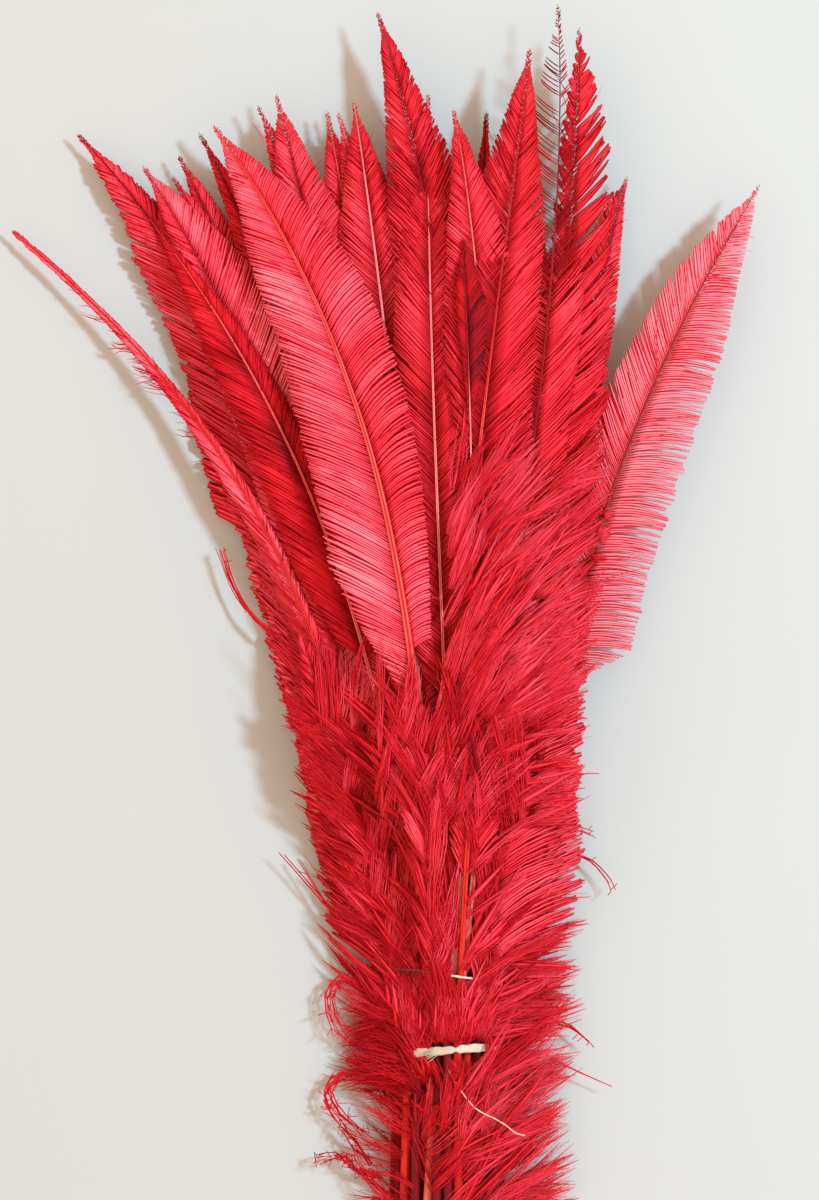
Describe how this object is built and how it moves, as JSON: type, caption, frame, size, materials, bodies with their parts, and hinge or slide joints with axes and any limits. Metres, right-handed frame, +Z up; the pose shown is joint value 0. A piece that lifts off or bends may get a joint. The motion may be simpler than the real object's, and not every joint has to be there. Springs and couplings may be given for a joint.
{
  "type": "ostrich feather bunch",
  "caption": "Bunch of long red-dyed ostrich plumes tied at the quills with cotton twine, fanned out and lying flat, for decoration and costume work.",
  "frame": {"origin": "centre of the flat underside of the cotton tie, on the surface that the bunch lies on", "axes": "+Y along the bunch from the tie to the tips, +X to the right seen from above, +Z up from the surface"},
  "size_m": [0.4224, 0.702, 0.0528],
  "materials": {
    "feather_bright": "fine parallel barbs, satin, dyed bright red",
    "feather_pinkish": "fine parallel barbs, satin, dyed pinkish red",
    "feather_deep": "fine parallel barbs, matt, dyed deep red",
    "cotton_twine": "undyed twisted cotton, matt",
    "binding_thread": "thin thread stained by the dye, matt"
  },
  "bodies": {
    "root": {"feather_centre_low_left": "feather_bright", "feather_centre_low_right": "feather_bright", "feather_centre_matt": "feather_deep", "feather_centre_pale_shaft": "feather_bright", "feather_centre_tallest": "feather_bright", "feather_far_left_sickle": "feather_pinkish", "feather_far_right": "feather_pinkish", "feather_front_left": "feather_bright", "feather_left_broad": "feather_pinkish", "feather_left_dark": "feather_deep", "feather_left_front": "feather_bright", "feather_left_lower": "feather_pinkish", "feather_left_pink": "feather_pinkish", "feather_left_second": "feather_bright", "feather_left_tall": "feather_bright", "feather_mid_left_low": "feather_pinkish", "feather_mid_left_pink": "feather_pinkish", "feather_mid_left_sparse": "feather_bright", "feather_mid_left_tall": "feather_bright", "feather_mid_pale_shaft": "feather_pinkish", "feather_mid_right_dark": "feather_deep", "feather_mid_right_pink": "feather_pinkish", "feather_right_frayed": "feather_deep", "feather_right_hairy": "feather_deep", "feather_right_low_front": "feather_bright", "feather_right_lower": "feather_bright", "feather_right_short": "feather_bright", "feather_right_tall": "feather_pinkish", "feather_under_a1": "feather_pinkish", "feather_under_a10": "feather_pinkish", "feather_under_a11": "feather_bright", "feather_under_a2": "feather_bright", "feather_under_a3": "feather_deep", "feather_under_a4": "feather_pinkish", "feather_under_a5": "feather_bright", "feather_under_a6": "feather_deep", "feather_under_a7": "feather_pinkish", "feather_under_a8": "feather_bright", "feather_under_a9": "feather_deep", "feather_under_b1": "feather_pinkish", "feather_under_b10": "feather_pinkish", "feather_under_b2": "feather_bright", "feather_under_b3": "feather_deep", "feather_under_b4": "feather_pinkish", "feather_under_b5": "feather_bright", "feather_under_b6": "feather_deep", "feather_under_b7": "feather_pinkish", "feather_under_b8": "feather_bright", "feather_under_b9": "feather_deep", "thread_tail": "cotton_twine", "tie_band": "cotton_twine", "upper_thread": "binding_thread"}
  },
  "joints": []
}
